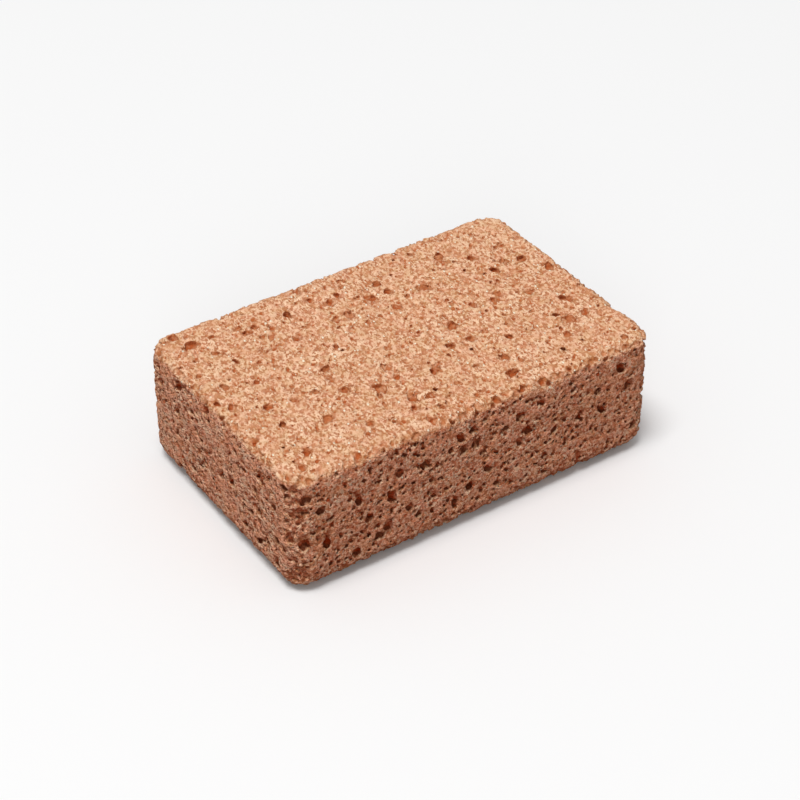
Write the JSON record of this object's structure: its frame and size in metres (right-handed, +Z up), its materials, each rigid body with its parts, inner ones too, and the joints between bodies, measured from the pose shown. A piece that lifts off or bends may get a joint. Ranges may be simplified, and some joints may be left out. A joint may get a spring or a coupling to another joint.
{
  "type": "grout sponge",
  "caption": "Rectangular block of coarse open-cell foam with rounded edges, for wiping grout off tiles.",
  "frame": {"origin": "middle of the underside", "axes": "+X along the length, +Y across the width away from the long front face, +Z up through the thickness"},
  "size_m": [0.17, 0.11, 0.055],
  "materials": {
    "foam": "matte open-cell polyurethane foam, peach orange, coarse pores"
  },
  "bodies": {
    "root": {"sponge": "foam"}
  },
  "joints": []
}
